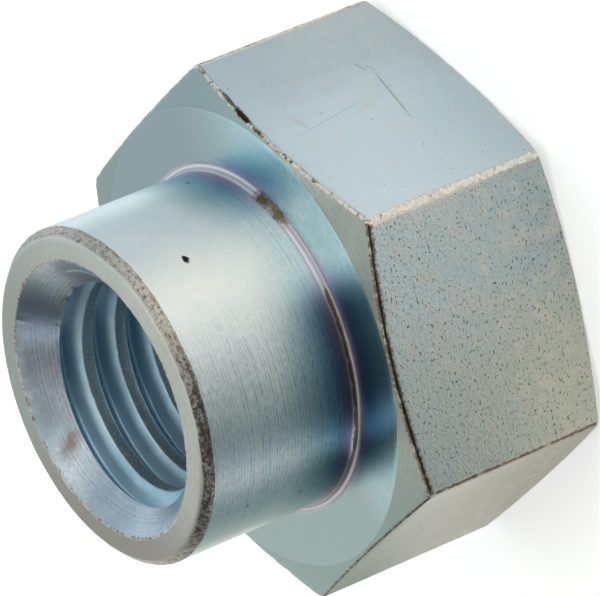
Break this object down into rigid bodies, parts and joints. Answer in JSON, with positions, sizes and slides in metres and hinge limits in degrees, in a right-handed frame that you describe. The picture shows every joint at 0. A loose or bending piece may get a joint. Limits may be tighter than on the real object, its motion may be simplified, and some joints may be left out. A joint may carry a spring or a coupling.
{
  "type": "hex weld nut",
  "caption": "Hexagonal weld nut with a turned pilot on one end and a threaded bore right through; the pilot locates it in sheet or tube and the hexagon is welded on.",
  "frame": {"origin": "centre of the hexagon's rear face, on the thread axis, the face the nut stands on", "axes": "+Z along the thread axis towards the pilot's mouth; two hexagon corners on the X axis, two flats facing +Y and -Y"},
  "size_m": [0.0272, 0.0238, 0.0202],
  "materials": {
    "zinc_plated_steel": "bright zinc plate with a thin blue passivate over turned and cold-drawn steel"
  },
  "bodies": {
    "root": {"hex_weld_nut": "zinc_plated_steel"}
  },
  "joints": []
}
